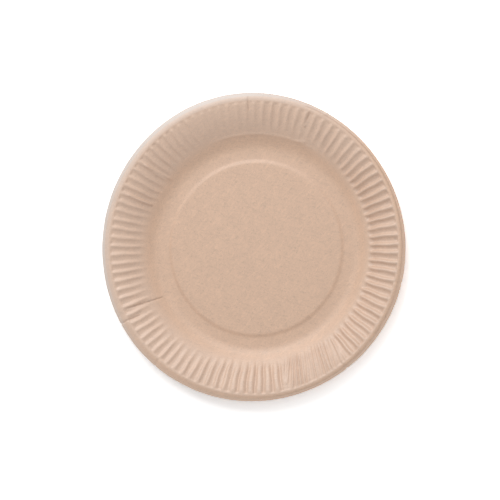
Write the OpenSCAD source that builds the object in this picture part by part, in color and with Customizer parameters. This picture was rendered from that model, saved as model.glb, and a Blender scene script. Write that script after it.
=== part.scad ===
/* [Overall] */
// Diameter across the outer edge
plate_d = 230; // [200:1:280]
// Height from the resting plane to the top of the rim
plate_h = 17.2; // [12:0.1:22]
// Thickness of the paper
sheet_t = 0.45; // [0.3:0.05:0.8]

/* [Base] */
// How far the centre disc stands above the foot ring
disc_rise = 0.8; // [0.3:0.1:2]
// Width of the sloping step round the centre disc
step_w = 2.8; // [1:0.1:6]
// Width of the flat foot ring that the plate rests on
foot_w = 6.4; // [3:0.1:12]

/* [Wall] */
// Width of the curve that turns the foot ring up into the wall
turn_w = 7.5; // [4:0.5:14]
// Width of the plain wall below the flutes, seen from above
plain_w = 5.4; // [2:0.1:10]
// How far the steep wall carries on under the flutes before it eases
steep_w = 1.5; // [0:0.5:6]

/* [Flutes] */
// Distance from one flute to the next, halfway along them
flute_pitch = 6.25; // [4.8:0.05:9]
// Length of a flute, seen from above
flute_len = 23.9; // [16:0.1:28]
// Depth of a flute, from its crest to its valley
flute_depth = 1.35; // [0.6:0.05:2.2]
// How much narrower a crest is than a valley
crest_pinch = 0.22; // [0:0.01:0.25]
// Length over which a flute deepens at its lower end
run_in = 3.4; // [2:0.2:6]
// Length over which a flute closes at its upper end
run_out = 2.3; // [1.5:0.1:4]
// How far the flutes are pressed in below the line of the wall, as a share of half their depth
flute_sink = 0.5; // [0:0.05:1]
// Bearing of the first crest
first_crest_a = 1.1; // [-5:0.1:5]
// How far the flutes stray from even spacing, as an angle
stray_a = 0.7; // [0:0.1:2]
// Bearing at which they have strayed furthest
stray_at_a = 64; // [0:1:359]

/* [Rim] */
// Slope of the rim where the flutes end
rim_a = 13; // [5:1:22]
// Width of the bend that turns the rim over outside the flutes
bend_w = 0.8; // [0.4:0.1:1.2]
// Width of the plain lip outside the flutes, seen from above
lip_w = 4.4; // [4:0.1:10]
// Slope at which the lip falls outwards
lip_fall_a = 22; // [5:1:40]
// Width of the curl along the lip's edge
curl_w = 1.8; // [0.4:0.1:2.2]
// Slope at which the curled edge falls outwards
lip_curl_a = 50; // [40:1:70]

/* [Blank] */
// How far the blank lay off the middle of the dies, which makes the lip wider on one side
off_middle = 1.05; // [0:0.05:1.3]
// Bearing of the side where the lip is widest
off_middle_a = 150; // [0:1:359]
// How far the edge wavers in and out, three times round the plate
edge_waver = 0.5; // [0:0.05:0.7]
// Bearing of one of its outward wavers
edge_waver_a = 106; // [0:1:119]

/* [Hidden] */

kraft = [0.82, 0.70, 0.62];

half_t = sheet_t / 2;

// The section is set out on the middle of the paper, from the edge inwards
edge_r = plate_d / 2 - half_t * sin(lip_curl_a);
flute_out_r = edge_r - lip_w;
flute_in_r = flute_out_r - flute_len;
wall_in_r = flute_in_r - plain_w;
foot_out_r = wall_in_r - turn_w;
foot_in_r = foot_out_r - foot_w;
disc_r = foot_in_r - step_w;

// Slopes are rise over run. The rim's crown is where the bend passes level
rim_slope = tan(rim_a);
fall_slope = -tan(lip_fall_a);
curl_slope = -tan(lip_curl_a);
crown_w = bend_w * rim_slope / (rim_slope - fall_slope);
crown_rise = crown_w * rim_slope / 2;

// The wall's slope follows from the height that is left for it
wall_w = plain_w + steep_w;
ease_r = flute_in_r + steep_w;
ease_w = flute_out_r - ease_r;
rim_share = rim_slope * ease_w / 2;
wall_slope = (plate_h - sheet_t - crown_rise - rim_share) / (turn_w / 2 + wall_w + ease_w / 2);
ease_rate = (rim_slope - wall_slope) / ease_w;

wall_in_z = half_t + wall_slope * turn_w / 2;
ease_z = wall_in_z + wall_slope * wall_w;
flute_out_z = ease_z + (wall_slope + rim_slope) * ease_w / 2;
crown_z = flute_out_z + crown_rise;
bend_z = crown_z + fall_slope * (bend_w - crown_w) / 2;

// Whole flutes that fit round the plate at their pitch
flute_mid_r = flute_out_r - flute_len / 2;
flutes = round(2 * PI * flute_mid_r / flute_pitch);

// Columns to a flute, and rows across the turn and the curl
flute_cols = 4;
turn_rows = 3;
curl_rows = 2;

// Lobes of the edge's waver, and the shift that keeps the outer edge about the origin
wavers = 3;
edge_shift = [
    -off_middle * cos(off_middle_a) - edge_waver * cos(wavers * edge_waver_a),
    -off_middle * sin(off_middle_a) + edge_waver * sin(wavers * edge_waver_a)
];

// Rise over run of the paper at a radius, up to the end of the flutes
function slope_at(r) =
    r <= foot_out_r ? 0
    : r <= wall_in_r ? wall_slope * (r - foot_out_r) / turn_w
    : r <= ease_r ? wall_slope
    : wall_slope + ease_rate * (r - ease_r);

// Height of the middle of the paper at a radius, up to the end of the flutes
function height_at(r) =
    r <= disc_r ? half_t + disc_rise
    : r <= foot_out_r ? half_t
    : r <= wall_in_r ? half_t + wall_slope * pow(r - foot_out_r, 2) / (2 * turn_w)
    : r <= ease_r ? wall_in_z + wall_slope * (r - wall_in_r)
    : ease_z + wall_slope * (r - ease_r) + ease_rate * pow(r - ease_r, 2) / 2;

// A row of the sheet: its radius, its height, its slope as an angle and its share of the flute depth
function wall_row(r, share) = [r, height_at(r), atan(slope_at(r)), share];

base_rows = concat(
    [wall_row(disc_r, 0), wall_row(foot_in_r, 0)],
    [for (i = [0 : turn_rows]) wall_row(foot_out_r + turn_w * i / turn_rows, 0)],
    [wall_row(flute_in_r, 0)]
);
flute_rows = [
    wall_row(flute_in_r + run_in, 1),
    wall_row(flute_mid_r, 1),
    wall_row(flute_out_r - run_out, 1)
];

// The rows of the lip where it is a given width: the flutes' end, the crown, the bend and the curl
function curl_row(width, share) =
    let (turned = (curl_slope - fall_slope) * share)
    [
        flute_out_r + width - curl_w * (1 - share),
        bend_z + fall_slope * (width - curl_w - bend_w) + curl_w * share * (fall_slope + turned / 2),
        atan(fall_slope + turned),
        0
    ];
function lip_rows(width) = concat(
    [
        wall_row(flute_out_r, 0),
        [flute_out_r + crown_w, crown_z, 0, 0],
        [flute_out_r + bend_w, bend_z, -lip_fall_a, 0]
    ],
    [for (i = [0 : curl_rows]) curl_row(width, i / curl_rows)]
);
lip_row_count = len(lip_rows(lip_w));

// Bearing of a place counted in flutes from the first crest, and how fast it turns there
function even_bearing(place) = first_crest_a + place * 360 / flutes;
function bearing(place) = even_bearing(place) + stray_a * cos(even_bearing(place) - stray_at_a);
function turn_rate(place) =
    2 * PI / flutes * (1 - stray_a * PI / 180 * sin(even_bearing(place) - stray_at_a));

// Width of the lip at a place round the plate
function lip_width(place) =
    lip_w + off_middle * cos(bearing(place) - off_middle_a)
    + edge_waver * cos(wavers * (bearing(place) - edge_waver_a));

// A flute's wave from crest to crest, and how fast it climbs
function wave(place) = cos(360 * place) + crest_pinch * cos(720 * place) - flute_sink;
function wave_climb(place) = -2 * PI * (sin(360 * place) + 2 * crest_pinch * sin(720 * place));

// A point on one face of the paper, half a thickness from its middle, square to the fluted sheet
function sheet_point(row, place, face) =
    let (
        a = bearing(place),
        swing = row[3] * flute_depth / 2,
        run = row[0] * turn_rate(place),
        climb = swing * wave_climb(place),
        size = norm([run, climb]),
        out = swing * wave(place) + face * half_t * run / size,
        along = -face * half_t * climb / size,
        r = row[0] - out * sin(row[2])
    )
    [r * cos(a) - along * sin(a), r * sin(a) + along * cos(a), row[1] + out * cos(row[2])];

function ring_points(rows, cols, face) =
    [for (row = rows) for (i = [0 : flutes * cols - 1]) sheet_point(row, i / cols, face)];

function lip_points(face) =
    [for (k = [0 : lip_row_count - 1]) for (i = [0 : flutes - 1])
        sheet_point(lip_rows(lip_width(i))[k], i, face)];

function face_points(face) = concat(
    [[0, 0, height_at(0) + face * half_t]],
    ring_points(base_rows, 1, face),
    ring_points(flute_rows, flute_cols, face),
    lip_points(face)
);

// Where each group of rows starts among the points of one face
base_start = 1;
flute_start = base_start + len(base_rows) * flutes;
lip_start = flute_start + len(flute_rows) * flutes * flute_cols;
face_size = lip_start + lip_row_count * flutes;

function flip_if(turned, triangle) =
    turned ? [triangle[0], triangle[2], triangle[1]] : triangle;

// Triangles between a coarse ring and one with a number of columns for each of its own
function band(coarse, fine, cols, turned) = concat(
    [for (i = [0 : flutes * cols - 1])
        flip_if(turned, [
            coarse + round((i + 0.5) / cols) % flutes,
            fine + (i + 1) % (flutes * cols),
            fine + i
        ])],
    [for (i = [0 : flutes - 1])
        flip_if(turned, [
            coarse + i,
            coarse + (i + 1) % flutes,
            fine + i * cols + floor(cols / 2)
        ])]
);

// Triangles between two fluted rings
function flute_band(inner, outer, turned) =
    let (cols = flutes * flute_cols)
    [for (i = [0 : cols - 1]) each [
        flip_if(turned, [inner + i, inner + (i + 1) % cols, outer + i]),
        flip_if(turned, [inner + (i + 1) % cols, outer + (i + 1) % cols, outer + i])
    ]];

function face_triangles(start, turned) = concat(
    [for (i = [0 : flutes - 1])
        flip_if(turned, [start, start + base_start + (i + 1) % flutes, start + base_start + i])],
    [for (k = [0 : len(base_rows) - 2]) each
        band(start + base_start + k * flutes, start + base_start + (k + 1) * flutes, 1, turned)],
    band(start + flute_start - flutes, start + flute_start, flute_cols, turned),
    [for (k = [0 : len(flute_rows) - 2]) each flute_band(
        start + flute_start + k * flutes * flute_cols,
        start + flute_start + (k + 1) * flutes * flute_cols,
        turned
    )],
    band(start + lip_start, start + lip_start - flutes * flute_cols, flute_cols, !turned),
    [for (k = [0 : lip_row_count - 2]) each
        band(start + lip_start + k * flutes, start + lip_start + (k + 1) * flutes, 1, turned)]
);

// The pressed sheet: its upper face, its underside and the cut edge between them
module plate() {
    color(kraft)
        translate(edge_shift) polyhedron(
            points = concat(face_points(1), face_points(-1)),
            faces = concat(
                face_triangles(0, false),
                face_triangles(face_size, true),
                band(face_size - flutes, 2 * face_size - flutes, 1, false)
            ),
            convexity = 6
        );
}

plate();
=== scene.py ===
import math

import bpy
import numpy as np
from mathutils import Matrix, Vector


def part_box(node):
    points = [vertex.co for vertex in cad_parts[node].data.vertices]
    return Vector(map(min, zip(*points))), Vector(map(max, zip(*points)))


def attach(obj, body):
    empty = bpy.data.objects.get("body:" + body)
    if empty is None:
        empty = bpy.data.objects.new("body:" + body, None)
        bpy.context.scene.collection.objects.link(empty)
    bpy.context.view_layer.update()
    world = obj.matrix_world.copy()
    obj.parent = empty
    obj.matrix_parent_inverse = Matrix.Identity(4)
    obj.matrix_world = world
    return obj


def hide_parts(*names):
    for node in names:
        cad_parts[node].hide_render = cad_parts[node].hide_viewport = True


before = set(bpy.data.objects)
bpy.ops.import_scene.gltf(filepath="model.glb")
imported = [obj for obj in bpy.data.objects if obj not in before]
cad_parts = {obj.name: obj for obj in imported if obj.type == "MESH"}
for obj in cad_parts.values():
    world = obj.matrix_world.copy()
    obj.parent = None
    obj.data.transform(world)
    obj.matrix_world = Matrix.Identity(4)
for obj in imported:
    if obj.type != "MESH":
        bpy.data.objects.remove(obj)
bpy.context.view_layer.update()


# The plate is one sheet of kraft board, blanked and then pressed between two warm dies in one
# stroke. The stroke raises the centre disc inside its foot ring, turns up the wall, crimps the
# excess of the flange into flutes, and rolls the plain lip over outside them.
MM = 0.001
seeded = np.random.default_rng(41)

# Sizes are in millimetres. The sheet stays a hair inside the box of the solid that it dresses
inside = 0.05
solid_d = 230.0
plate_d = solid_d - 2 * inside
plate_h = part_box("plate")[1].z / MM - inside
sheet_t = 0.45
half_t = sheet_t / 2

# The section from the centre disc out to the end of the flutes
disc_rise = 0.95
step_w = 3.6
foot_w = 6.1
turn_w = 7.5
plain_w = 5.4
steep_w = 1.5
flute_len = 22.5
rim_a = math.radians(13)

# The lip beyond the flutes. The ring of its bend lies a little off the middle
lip_w = 5.8
bend_w = 2.8
bend_off = 0.6
bend_off_a = math.radians(50)
curl_w = 2.4
lip_fall_a = math.radians(29.5)
lip_curl_a = math.radians(54)

# It falls most steeply on the side that the press closed hardest, and a little less over a span
# at the lower left. A span is two bearings in degrees, and the width over which it eases out
more_fall_a = math.radians(14)
more_fall_at_a = math.radians(293)
less_fall_a = math.radians(5)
less_fall_span = (198, 234, 16)
fall_stray_a = math.radians(1.5)

# The blank lay off the middle of the dies, so the lip is wider on one side. Its edge wavers too
off_middle = 1.05
off_middle_a = math.radians(150)
wavers = 3
edge_waver = 0.5
edge_waver_a = math.radians(106)
edge_ragged = 0.05
edge_shift = np.array([
    -off_middle * math.cos(off_middle_a) - edge_waver * math.cos(wavers * edge_waver_a),
    -off_middle * math.sin(off_middle_a) + edge_waver * math.sin(wavers * edge_waver_a),
    0])

# The section is set out on the middle of the board, from the edge inwards
edge_r = plate_d / 2 - half_t * math.sin(lip_curl_a)
flute_out_r = edge_r - lip_w
flute_in_r = flute_out_r - flute_len
wall_in_r = flute_in_r - plain_w
foot_out_r = wall_in_r - turn_w
foot_in_r = foot_out_r - foot_w
disc_r = foot_in_r - step_w
flute_mid_r = flute_out_r - flute_len / 2
ease_r = flute_in_r + steep_w
ease_w = flute_out_r - ease_r
rim_slope = math.tan(rim_a)
fall_slope = -math.tan(lip_fall_a)
crown_rise = bend_w * rim_slope ** 2 / (rim_slope - fall_slope) / 2
wall_slope = (plate_h - sheet_t - crown_rise - rim_slope * ease_w / 2) / (
    turn_w / 2 + plain_w + steep_w + ease_w / 2)

# Slope of the pressed section at its corners, and the height that follows by summing it
section_steps = 4000
corner_r = [0, disc_r, disc_r + step_w / 2, foot_in_r, foot_out_r, wall_in_r, ease_r, flute_out_r]
corner_slope = [0, 0, -2 * disc_rise / step_w, 0, 0, wall_slope, wall_slope, rim_slope]
section_r = np.linspace(0, flute_out_r, section_steps)
section_slope = np.interp(section_r, corner_r, corner_slope)
section_rises = (section_slope[1:] + section_slope[:-1]) / 2
section_height = half_t + disc_rise + np.concatenate(
    [[0], np.cumsum(section_rises) * (section_r[1] - section_r[0])])

# Rows run from the centre out, one of them just before the step. The inner rows keep one column
# of every five, because nothing on them is as narrow as a flute
disc_rows_r = [25, 50]
step_lead = 1.2
step_rows = 5
turn_rows = 5
wall_row_w = 1.7
flute_rows = 33
bend_rows = 5
curl_rows = 3
inner_skip = 5
inner_rows = np.concatenate([
    disc_rows_r,
    [disc_r - step_lead],
    np.linspace(disc_r, foot_in_r, step_rows),
    [foot_in_r + foot_w / 2],
    np.linspace(foot_out_r, wall_in_r, turn_rows)[:-1]])
outer_rows = np.concatenate([
    [wall_in_r, wall_in_r + wall_row_w],
    np.linspace(wall_in_r + 2 * wall_row_w, flute_out_r, flute_rows)])
pressed_r = np.concatenate([inner_rows, outer_rows])

# Columns are placed in flutes, counted from the first crest. The flutes stray from even spacing
# by these degrees, once round the plate and three times round it
flute_pitch = 6.22
cols_a_flute = 10
first_crest_a = 1.1
stray_a = 0.7
stray_at_a = 64.0
stray_thrice_a = 0.28
stray_thrice_at_a = 82.0
flutes = round(2 * math.pi * flute_mid_r / flute_pitch)
places = np.arange(flutes * cols_a_flute) / cols_a_flute
even = np.radians(first_crest_a + places * 360 / flutes)
bearing = even + math.radians(stray_a) * np.cos(even - math.radians(stray_at_a)) \
    + math.radians(stray_thrice_a) * np.cos(3 * (even - math.radians(stray_thrice_at_a)))


def smooth(value):
    """Eases from 0 to 1 as the value does."""
    held = np.clip(value, 0, 1)
    return held * held * (3 - 2 * held)


def by_flute(spread, picks_a_flute=1):
    """A value that strays from flute to flute, eased between them, for each column."""
    count = flutes * picks_a_flute
    picks = seeded.normal(0, spread, count)
    at = places * picks_a_flute
    below = np.floor(at).astype(int)
    share = smooth(at - below)
    return picks[below % count] * (1 - share) + picks[(below + 1) % count] * share


def between(span):
    """1 for columns inside a span of bearings, easing to 0 outside it."""
    low_a, high_a, ease_a = span
    turn = np.degrees(bearing) % 360
    return smooth((turn - low_a) / ease_a + 0.5) * smooth((high_a - turn) / ease_a + 0.5)


def swing(towards):
    """Falls from 1 at a bearing to -1 on the far side of the plate, for each column."""
    return np.cos(bearing - towards)


lip_width = lip_w + off_middle * swing(off_middle_a) + edge_waver * np.cos(
    wavers * (bearing - edge_waver_a)) - np.abs(by_flute(edge_ragged))
bend_shift = bend_off * swing(bend_off_a)


def section():
    """Radius, height and slope of the unfluted sheet, by row and column."""
    ones = np.ones_like(bearing)
    radius = np.outer(pressed_r, ones)
    height = np.interp(radius, section_r, section_height)
    slope = np.interp(radius, section_r, section_slope)
    radius = radius + np.outer(smooth((pressed_r - ease_r) / ease_w), bend_shift)
    past_bend = lip_width - bend_shift
    fall_a = lip_fall_a + more_fall_a * swing(more_fall_at_a) + fall_stray_a * by_flute(1) \
        - less_fall_a * between(less_fall_span)
    fall = -np.tan(fall_a)
    curl = -np.tan(fall_a + lip_curl_a - lip_fall_a)
    bend = np.arange(1, bend_rows + 1)[:, None] / bend_rows
    turned = np.arange(curl_rows + 1)[:, None] / curl_rows
    lip_x = np.vstack([
        bend * bend_w * ones,
        (bend_w + past_bend - curl_w) / 2,
        past_bend - curl_w * (1 - turned)])
    lip_slope = np.vstack([
        rim_slope + (fall - rim_slope) * bend,
        fall,
        fall + (curl - fall) * turned])
    all_x = np.vstack([0 * ones, lip_x])
    all_slope = np.vstack([rim_slope * ones, lip_slope])
    drop = np.cumsum(np.diff(all_x, axis=0) * (all_slope[1:] + all_slope[:-1]) / 2, axis=0)
    return (
        np.vstack([radius, flute_out_r + bend_shift + lip_x]),
        np.vstack([height, height[-1] + drop]),
        np.arctan(np.vstack([slope, lip_slope])))


def patch(radius, at, wide, long):
    """1 round a place on the plate, given as its bearing in degrees and its radius, 0 away from it."""
    across = radius * np.sin(bearing - math.radians(at[0])) / wide
    along = (radius * np.cos(bearing - math.radians(at[0])) - at[1]) / long
    return np.exp(-(across ** 2 + along ** 2) ** 2)


# The flutes' depth from crest to valley. Their crests are pinched narrower than their valleys,
# and their middle is sunk below the section by a share of half that depth
flute_depth = 1.55
crest_pinch = 0.22
flute_sink = 0.5
depth_stray = 0.08

# The press bit deeper on the right and more faintly at the top. The flutes lean a little, one way
# on the right and the other way on the left
deeper = 0.35
deeper_at_a = math.radians(5)
faint = 0.45
faint_span = (36, 92, 18)
fainter = 0.6
fainter_span = (92, 127, 16)
lean = 0.1
lean_at_a = math.radians(20)

# Each one strays sideways by a share of a flute, and wavers along its length by another share.
# The wavers' length is for one radian, and they start at stray angles
phase_stray = 0.02
flute_waver = 0.03
waver_len = 2.6
waver_stray = 2.5

# At the bottom they are broad, and at the lower right they crowd into thin, slanted pleats. A
# ripple there has its number to a flute, its size and where it starts
broad_span = (260, 284, 8)
broad_lift = 0.45
broad_pinch = -0.25
crowded_span = (284, 311, 4)
crowded_lift = 0.25
crowded_ripples = [(1, 0.1, 0), (2, 0.6, 1.2), (4, 0.25, 1.6)]
crowded_slant = 0.034
crowded_stray = 0.06
crowded_uneven = 0.25
pleats_a_flute = 2

# Two spots where handling has nearly flattened them: each a place, its width and its length
flattened = 0.8
flat_spots = [((67, 96.5), 5, 4), ((284, 106), 3, 2.5)]

# They begin further in on the left and at the bottom, deepen most slowly at the lower left and
# at the top, and close quickly at the rim
begin_early = 0.5
begin_stray = 0.35
left_earlier = 3.8
left_span = (138, 196, 12)
bottom_earlier = 3.2
bottom_span = (252, 306, 14)
deepen_w = 3.4
deepen_stray = 0.25
slower_w = 11.0
slower_at_a = math.radians(222)
top_slower_w = 9
top_span = (52, 118, 30)
close_w = 0.9
close_stray = 0.12
top_close_w = 0.6
top_close_span = (50, 142, 20)


def ripple(phase, count, start=0):
    """A wave that repeats a number of times in a flute."""
    return np.cos(2 * np.pi * count * phase + start)


def fluting(radius):
    """The flutes' wave, plain for most of the way round, by row and column."""
    waver = flute_waver * np.sin(radius / waver_len + by_flute(waver_stray))
    phase = places + by_flute(phase_stray) + waver
    plain = ripple(phase, 1) + crest_pinch * ripple(phase, 2) \
        + lean * swing(lean_at_a) * np.sin(4 * np.pi * phase)
    slanted = places + crowded_slant * (radius - flute_mid_r) + by_flute(crowded_stray, pleats_a_flute)
    crowded = crowded_lift + sum(
        size * ripple(slanted, count, start) for count, size, start in crowded_ripples)
    crowded = crowded * (1 + by_flute(crowded_uneven, pleats_a_flute))
    broad = broad_lift + ripple(phase, 1) + broad_pinch * ripple(phase, 2)
    wave = plain + (broad - plain) * between(broad_span)
    wave = wave + (crowded - wave) * between(crowded_span)
    return wave * (1 - flattened * sum(patch(radius, *spot) for spot in flat_spots))


def flute_share(radius):
    """The share of their depth that the flutes have at a radius, by row and column."""
    begin = flute_in_r - begin_early + by_flute(begin_stray) \
        - left_earlier * between(left_span) - bottom_earlier * between(bottom_span)
    slower = slower_w * ((1 + swing(slower_at_a)) / 2) ** 2 + top_slower_w * between(top_span)
    deepen_len = deepen_w + slower * (1 + by_flute(deepen_stray))
    end = flute_out_r + bend_shift + by_flute(close_stray)
    close_len = close_w + top_close_w * between(top_close_span)
    return smooth((radius - begin) / deepen_len) * smooth((end - radius) / close_len)


def flute_lift(radius):
    """How far the fluting lifts the sheet off its section, by row and column."""
    wave = fluting(radius)
    share = flute_share(radius)
    less = faint * between(faint_span) + fainter * between(fainter_span)
    depth = flute_depth * (1 + deeper * swing(deeper_at_a)) * (1 + by_flute(depth_stray) - less)
    crest_lift = flute_depth / 2 * (1 + crest_pinch - flute_sink)
    return (depth / 2 * (wave - 1 - crest_pinch) + crest_lift) * share


# Creases run straight between two places, each a bearing in degrees and a radius, and fade out at
# both ends. Then come their lift, below zero for a groove, and the widths of their two flanks
fade_len = 3
folds = [
    # The long fold at the lower left, and the short one beside it that nicks the edge
    ((207.2, 79), (205.1, 107), -1.0, 0.3, 0.6),
    ((210.2, 98), (209.1, 119), -0.85, 0.3, 0.6),
    ((206.6, 109), (206.6, 119), -0.2, 1.2, 1.2),
    # The pinched pleat at the top right, the ledge below it and the crinkle beyond it
    ((66.6, 101), (66.3, 111), -0.8, 0.6, 0.6),
    ((62.4, 88.2), (68.8, 86.2), 0.5, 1.0, 0.6),
    ((61.9, 109), (59.7, 116), 0.45, 0.6, 0.6),
    # The short crease at the top
    ((91.4, 101), (91.3, 114), -0.8, 0.4, 0.6),
    # Two sharp pleats at the upper left
    ((140.9, 82), (142.8, 105), 1.0, 1.2, 0.6),
    ((157.4, 84), (157.0, 105), 0.7, 1.0, 0.6),
    # Crinkles across the lip
    ((308.0, 105), (308.8, 119), -0.5, 0.9, 0.9),
    ((346.8, 106), (346.0, 119), -0.45, 0.8, 0.8),
    ((229.5, 107), (229.8, 119), -0.5, 0.9, 0.9),
]

# The speck in the pinched pleat: its lift, and its place, width and length
speck_lift = 0.8
speck_spot = ((66.4, 98.9), 0.7, 0.9)

# The groove of the die's corner just inside the lip, deeper at the upper left, and the ledge that
# the die left along the flutes' lower ends at the top
groove_depth = 0.1
groove_deeper = 0.07
groove_span = (84, 160, 20)
groove_w = 0.8
groove_r = flute_out_r + bend_shift - 1.0
ledge_lift = 0.38
ledge_span = (60, 110, 14)
ledge_w = 0.8
ledge_r = flute_in_r - 0.7


def crease(radius, inner, outer, lift, before_w, after_w):
    """A straight ridge between two places, or a groove where its lift is negative.

    Its two flanks have their own widths, so that one may stand steeper than the other.
    """
    ends = [at[1] * np.array([math.cos(math.radians(at[0])), math.sin(math.radians(at[0]))])
            for at in (inner, outer)]
    run = ends[1] - ends[0]
    length = np.linalg.norm(run)
    x = radius * np.cos(bearing) - ends[0][0]
    y = radius * np.sin(bearing) - ends[0][1]
    along = (x * run[0] + y * run[1]) / length
    across = (y * run[0] - x * run[1]) / length
    width = np.where(across < 0, before_w, after_w)
    fade = smooth(along / fade_len) * smooth((length - along) / fade_len)
    return lift * np.exp(-(across / width) ** 2) * fade


def bead(radius, at_r, width):
    """1 along a ring of the plate, and 0 away from it."""
    return np.exp(-((radius - at_r) / width) ** 2)


def creases(radius):
    """The sharp folds and dents that handling and the press left, by row and column."""
    folded = sum(crease(radius, *fold) for fold in folds)
    speck = speck_lift * patch(radius, *speck_spot)
    groove = (groove_depth + groove_deeper * between(groove_span)) * bead(radius, groove_r, groove_w)
    ledge = ledge_lift * bead(radius, ledge_r, ledge_w) * between(ledge_span)
    return folded + speck - groove + ledge


def sheet():
    """The middle of the sheet as a grid of points, rows from the centre out."""
    radius, height, slope = section()
    out = flute_lift(radius) + creases(radius)
    r = radius - out * np.sin(slope)
    z = np.minimum(height + out * np.cos(slope), plate_h - half_t)
    return np.stack([r * np.cos(bearing), r * np.sin(bearing), z], -1) + edge_shift


def normals(grid):
    """Unit normals of a grid that closes round the plate."""
    down = np.gradient(grid, axis=0)
    around = np.roll(grid, -1, axis=1) - np.roll(grid, 1, axis=1)
    square = np.cross(down, around)
    return square / np.linalg.norm(square, axis=-1, keepdims=True)


def between_rings(inner, outer, cols, skip, turned):
    """Faces between two rings of points, where the inner one may skip columns."""
    faces = []
    for col in range(0, cols, skip):
        far = [outer + (col + step) % cols for step in range(skip + 1)]
        near = [inner + (col // skip + 1) % (cols // skip), inner + col // skip]
        faces.append((far + near)[::-1] if turned else far + near)
    return faces


def face_of_sheet(middle, face, points, faces):
    """Adds the upper face, 1, or the lower one, -1, and says where its outermost ring starts."""
    skin = middle + normals(middle) * face * half_t
    rows, cols = middle.shape[:2]
    steps = [inner_skip] * len(inner_rows) + [1] * (rows - len(inner_rows))
    hub = len(points)
    points.append(np.array([0, 0, half_t + disc_rise + face * half_t]) + edge_shift)
    ring = len(points)
    points.extend(skin[0, ::inner_skip])
    count = cols // inner_skip
    spokes = [(hub, ring + col, ring + (col + 1) % count) for col in range(count)]
    faces += [spoke[::face] for spoke in spokes]
    for row in range(1, rows):
        inner = ring
        ring = len(points)
        points.extend(skin[row, ::steps[row]])
        faces += between_rings(
            inner, ring, cols // steps[row], steps[row - 1] // steps[row], face < 0)
    return ring


def plate_mesh():
    """Both faces of the sheet and the sharp cut edge between them."""
    points = []
    faces = []
    middle = sheet()
    cols = middle.shape[1]
    rims = [face_of_sheet(middle, face, points, faces) for face in (1, -1)]
    cut_start = len(faces)
    faces += between_rings(rims[0], rims[1], cols, 1, False)
    mesh = bpy.data.meshes.new("plate_sheet")
    mesh.from_pydata((np.array(points) * MM).tolist(), [], faces)
    mesh.shade_smooth()
    cut = np.zeros(len(faces), dtype=np.float32)
    cut[cut_start:] = 1
    mesh.attributes.new("cut_edge", "FLOAT", "FACE").data.foreach_set("value", cut)
    edges = np.empty(len(mesh.edges) * 2, dtype=np.int32)
    mesh.edges.foreach_get("vertices", edges)
    edges = edges.reshape(-1, 2)
    sharp = np.zeros(len(edges), dtype=bool)
    for rim in rims:
        sharp |= ((edges >= rim) & (edges < rim + cols)).all(axis=1)
    mesh.attributes.new("sharp_edge", "BOOLEAN", "EDGE").data.foreach_set("value", sharp)
    mesh.update()
    return mesh


plate = bpy.data.objects.new("plate_sheet", plate_mesh())
bpy.context.scene.collection.objects.link(plate)


class Wire:
    """A socket of a finish. Sums, differences and products of wires add their own nodes."""

    def __init__(self, tree, socket=None):
        self.tree = tree
        self.socket = socket

    def node(self, kind, settings=None, inputs=None, output=0):
        """Adds a node: its type, its settings, its sockets' values or wires, and the output to use."""
        made = self.tree.nodes.new(kind)
        for name, value in (settings or {}).items():
            setattr(made, name, value)
        for name, value in (inputs or {}).items():
            if isinstance(value, Wire):
                self.tree.links.new(value.socket, made.inputs[name])
            else:
                made.inputs[name].default_value = value
        return Wire(self.tree, made.outputs[output] if made.outputs else None)

    def sum_of(self, operation, first, second):
        """Adds the Math node for one of the operators below."""
        return self.node("ShaderNodeMath", {"operation": operation}, {0: first, 1: second})

    def __add__(self, other):
        return self.sum_of("ADD", self, other)

    def __sub__(self, other):
        return self.sum_of("SUBTRACT", self, other)

    def __rsub__(self, other):
        return self.sum_of("SUBTRACT", other, self)

    def __mul__(self, other):
        return self.sum_of("MULTIPLY", self, other)

    __radd__ = __add__
    __rmul__ = __mul__


def new_finish(name):
    """An empty material and the wire that its nodes start from."""
    made = bpy.data.materials.new(name)
    made.use_nodes = True
    made.node_tree.nodes.clear()
    return made, Wire(made.node_tree)


def finish_with(start, shader):
    """Ends a finish with the shader that its surface has."""
    start.node("ShaderNodeOutputMaterial", inputs={"Surface": shader})


def mixed(share, first, second):
    """The first colour where a share is 0, and the second where it is 1."""
    return share.node("ShaderNodeMix", {"data_type": "RGBA"}, {0: share, 6: first, 7: second}, 2)


def facing(place, at_a):
    """Falls from 1 at a bearing to -1 on the far side, whatever the radius."""
    heading = place.node("ShaderNodeVectorMath", {"operation": "NORMALIZE"}, {0: place})
    return place.node("ShaderNodeVectorMath", {"operation": "DOT_PRODUCT"}, {
        0: heading, 1: (math.cos(at_a), math.sin(at_a), 0)}, "Value")


def ramp(value, low, high):
    """Eases from 0 to 1 while the value goes from low to high."""
    return value.node("ShaderNodeMapRange", {"interpolation_type": "SMOOTHSTEP"}, {
        "Value": value, "From Min": low, "From Max": high})


def noise(place, size, detail=2.0, rough=0.5):
    """Cloudy noise about zero, with blotches of a size in millimetres."""
    made = place.node("ShaderNodeTexNoise", {}, {
        "Vector": place, "Scale": 1 / (size * MM), "Detail": detail, "Roughness": rough}, "Fac")
    return made - 0.5


# The pulp's fibres and flecks: the way they lie, their length and width, and how sparse they are.
# The short fibres lie three ways, the pale ones turned a little from the dark. Each layer is
# shifted by some of its own lengths, so that no two match
long_dark = (0.35, 2.6, 0.45, 0.66)
long_pale = (1.3, 3.0, 0.50, 0.66)
short_dark = (2.2, 0.40, 0.67)
short_pale = (2.6, 0.45, 0.67)
short_ways_a = (1.0, 1.9, 2.7)
pale_turn_a = 0.5
dark_fleck = (2.9, 8.0, 1.4, 0.6)
pale_fleck = (0.8, 7.5, 1.6, 0.6)
fibre_shift = 9
fibre_bend = 0.4
fibre_soft = 0.07


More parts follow.
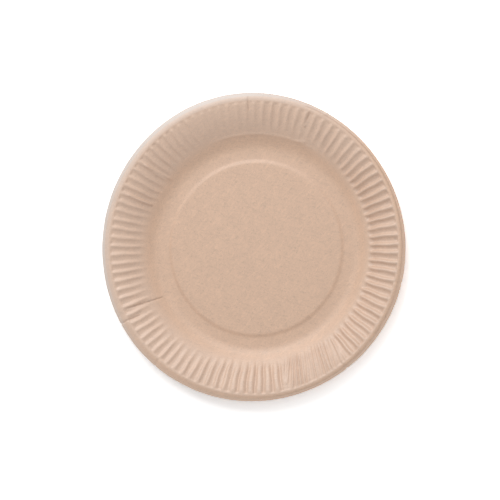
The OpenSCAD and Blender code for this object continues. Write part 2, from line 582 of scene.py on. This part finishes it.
def fibres(place, lie_a, length, width, sparse):
    """1 on short fibres that lie one way, with their size in millimetres, and 0 between them."""
    turned = place.node("ShaderNodeMapping", {"vector_type": "TEXTURE"}, {
        "Vector": place, "Location": (lie_a, length * fibre_shift * MM, 0),
        "Rotation": (0, 0, lie_a), "Scale": (length * MM, width * MM, width * MM)})
    cloud = place.node("ShaderNodeTexNoise", {}, {
        "Vector": turned, "Scale": 1.0, "Detail": 0.0, "Distortion": fibre_bend}, "Fac")
    return ramp(cloud, sparse, sparse + fibre_soft)


# The board's colour, and how rough and how glossy its satin face is
kraft_colour = (0.604, 0.392, 0.2635)
satin = 0.56
gloss = 2.1

# Mottling, patches and grain, by the size of their blotches. The patches vary the satin as well
mottle_size = 12
patch_size = 4
patch_rough = 0.1
grain_size = 1.1
fine_detail = 3.0
fine_rough = 0.6

# Each speck is full within a share of its cell, and gone at a wider one
specks_a_metre = 210.0
speck_full = 0.05
speck_gone = 0.10

# How much each of these lightens or darkens the board, as a share of its colour
mottle_shade = 0.13
patch_shade = 0.10
grain_shade = 0.05
pale_fibre_shade = 0.06
dark_fibre_shade = 0.10
speck_shade = 0.12
fleck_shade = 0.05

# The grain and the fibres stand in a fine relief
relief_depth = 0.04
relief_strength = 0.5
grain_relief = 0.7
pale_fibre_relief = 0.5
dark_fibre_relief = 0.4

# Painted light: the pressed wall and the flutes are lighter than the disc, standing in for the light
# that their slopes catch from the room. The cut edge is lighter than the disc, and rougher
wall_painted_light = 0.038
flute_painted_light = 0.045
crimp_from_r = wall_in_r - 1
crimp_full_r = flute_in_r + 3
cut_light = 0.05
cut_rough = 0.3

# Painted sheen and highlights: the flutes are mixed a little towards a pale grey, and the lip and
# its edge more so at the upper left, the side towards the lamp
painted_sheen_colour = (0.56, 0.55, 0.54, 1)
flute_painted_sheen = 0.15
lip_painted_highlight = 0.3
lip_full_r = flute_out_r + 2
edge_painted_highlight = 0.34
edge_from_r = edge_r - 2.6
edge_full_r = edge_r - 1.2
highlight_at_a = math.radians(136)
highlight_from = -0.3
highlight_full = 0.8

kraft, start = new_finish("kraft_paper")
place = start.node("ShaderNodeTexCoord", output="Object")
flat_place = start.node("ShaderNodeVectorMath", {"operation": "SUBTRACT"}, {
    0: start.node("ShaderNodeVectorMath", {"operation": "MULTIPLY"}, {0: place, 1: (1, 1, 0)}),
    1: tuple(edge_shift * MM)})
from_centre = start.node("ShaderNodeVectorMath", {"operation": "LENGTH"}, {0: flat_place}, "Value")
cut = start.node("ShaderNodeAttribute", {"attribute_name": "cut_edge"}, output="Fac")

pressed = ramp(from_centre, foot_out_r * MM, wall_in_r * MM)
crimped = ramp(from_centre, crimp_from_r * MM, crimp_full_r * MM)
lipped = ramp(from_centre, flute_out_r * MM, lip_full_r * MM)
at_edge = ramp(from_centre, edge_from_r * MM, edge_full_r * MM)
# Painted highlight: the lip and its edge are paler on the side towards the lamp
highlight_side = ramp(facing(flat_place, highlight_at_a), highlight_from, highlight_full)
painted_lip_highlight = (lipped * lip_painted_highlight + at_edge * edge_painted_highlight) * highlight_side

dark_fibres = fibres(place, *long_dark)
pale_fibres = fibres(place, *long_pale)
for way_a in short_ways_a:
    dark_fibres = dark_fibres + fibres(place, way_a, *short_dark)
    pale_fibres = pale_fibres + fibres(place, way_a + pale_turn_a, *short_pale)
flecks = fibres(place, *pale_fleck) - fibres(place, *dark_fleck)
cells = start.node("ShaderNodeTexVoronoi", {}, {"Vector": place, "Scale": specks_a_metre}, "Distance")
specks = ramp(cells, speck_gone, speck_full)
mottling = noise(place, mottle_size, fine_detail, fine_rough)
patches = noise(place, patch_size)
grain = noise(place, grain_size, fine_detail, fine_rough)
shade = (
    mottling * mottle_shade
    + patches * patch_shade
    + grain * grain_shade
    + pale_fibres * pale_fibre_shade
    - dark_fibres * dark_fibre_shade
    - specks * speck_shade
    + flecks * fleck_shade
    + cut * cut_light
    # painted light on the pressed wall and the flutes
    + pressed * wall_painted_light
    + crimped * flute_painted_light)
shaded_kraft = start.node("ShaderNodeVectorMath", {"operation": "SCALE"}, {
    0: kraft_colour, "Scale": shade + 1})
relief = grain * grain_relief + pale_fibres * pale_fibre_relief - dark_fibres * dark_fibre_relief
finish_with(start, start.node("ShaderNodeBsdfPrincipled", inputs={
    # painted sheen on the flutes and painted highlight on the lip, mixed into the colour
    "Base Color": mixed((crimped - lipped) * flute_painted_sheen + painted_lip_highlight, shaded_kraft, painted_sheen_colour),
    "Roughness": patches * patch_rough + satin + cut * cut_rough,
    "IOR": gloss,
    "Normal": start.node("ShaderNodeBump", {}, {
        "Strength": relief_strength, "Distance": relief_depth * MM, "Height": relief})}))
plate.data.materials.append(kraft)
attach(plate, "root")
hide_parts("plate")


# The floor is a flat sheet of matt white board, and the plate stands on it on its foot ring. It
# shows as white to the camera and keeps the shadow, and its white is greyed a little towards the
# lower left, a painted shade that deepens the shadow there.
# Places and sizes from here on are in metres.
floor_half = 2.0
floor_drop = 0.00005
floor_rough = 0.9
floor_white = 0.85
floor_over = 1.9
floor_painted_shade = 0.19
floor_painted_shade_at_a = math.radians(204)

floor_mesh = bpy.data.meshes.new("floor")
floor_mesh.from_pydata(
    [(x, y, -floor_drop) for x, y in (
        (-floor_half, -floor_half), (floor_half, -floor_half),
        (floor_half, floor_half), (-floor_half, floor_half))],
    [], [(0, 1, 2, 3)])
floor = bpy.data.objects.new("floor", floor_mesh)
bpy.context.scene.collection.objects.link(floor)


def seen(start):
    """1 where a ray comes from the camera, a mirror or a glass, and 0 where it only lights."""
    rays = start.node("ShaderNodeLightPath").socket.node
    shares = [Wire(start.tree, rays.outputs[name])
              for name in ("Is Camera Ray", "Is Glossy Ray", "Is Transmission Ray")]
    return shares[0] + shares[1] + shares[2]


white, start = new_finish("white_floor")
place = start.node("ShaderNodeTexCoord", output="Object")
# Painted shade: the floor's white seen by the camera is greyer towards the lower left, darkening the
# shadow there
floor_tone = (1 - facing(place, floor_painted_shade_at_a) * floor_painted_shade) * floor_over
finish_with(start, start.node("ShaderNodeBsdfPrincipled", inputs={
    "Base Color": mixed(seen(start), (floor_white, floor_white, floor_white, 1), floor_tone),
    "Roughness": floor_rough}))
floor_mesh.materials.append(white)


# The light is one large, round, soft lamp, which stands at the top of the picture and a little to
# the left, in a pale room. Its level is that of a sky as bright on flat ground.
room_level = 0.61
lamp_level = 0.378
lamp_height_a = math.radians(40)
lamp_at_a = math.radians(113)
lamp_spread = math.radians(46)
lamp_far = 1.35

room = bpy.data.worlds.new("pale_room")
room.use_nodes = True
room.node_tree.nodes.clear()
start = Wire(room.node_tree)
room_colour = mixed(seen(start), (room_level, room_level, room_level, 1), (1, 1, 1, 1))
start.node("ShaderNodeOutputWorld", inputs={
    "Surface": start.node("ShaderNodeBackground", inputs={"Color": room_colour})})
bpy.context.scene.world = room

lamp_data = bpy.data.lights.new("soft_lamp", "AREA")
lamp_data.shape = "DISK"
lamp_data.size = 2 * lamp_far * math.tan(lamp_spread / 2)
lamp_data.energy = lamp_level * (math.pi * lamp_far) ** 2 / math.sin(lamp_height_a)
lamp = bpy.data.objects.new("soft_lamp", lamp_data)
bpy.context.scene.collection.objects.link(lamp)
toward_lamp = Vector((
    math.cos(lamp_height_a) * math.cos(lamp_at_a),
    math.cos(lamp_height_a) * math.sin(lamp_at_a),
    math.sin(lamp_height_a)))
lamp.location = toward_lamp * lamp_far
lamp.rotation_euler = toward_lamp.to_track_quat("Z", "Y").to_euler()


# The camera stands almost straight above the plate, a little to its right, with a long lens. Its
# frame is as wide as the picture is on the floor, and it aims just off the plate's middle. Only
# its sensor and its lens are in millimetres.
camera_tilt = math.radians(11)
camera_at_a = math.radians(-8)
camera_far = 1.5
frame_w = 0.37575
sensor_w = 36
aim = Vector((-0.00401, -0.00203, 0))

camera_data = bpy.data.cameras.new("camera")
camera_data.sensor_width = sensor_w
camera_data.lens = sensor_w * camera_far / frame_w
camera = bpy.data.objects.new("camera", camera_data)
bpy.context.scene.collection.objects.link(camera)
back = Vector((
    math.sin(camera_tilt) * math.cos(camera_at_a),
    math.sin(camera_tilt) * math.sin(camera_at_a),
    math.cos(camera_tilt)))
right = Vector((0, 1, 0)).cross(back).normalized()
up = back.cross(right)
turn = Matrix((right, up, back)).transposed().to_4x4()
camera.matrix_world = Matrix.Translation(aim + back * camera_far) @ turn
bpy.context.scene.camera = camera
bpy.context.scene.view_settings.view_transform = "Standard"
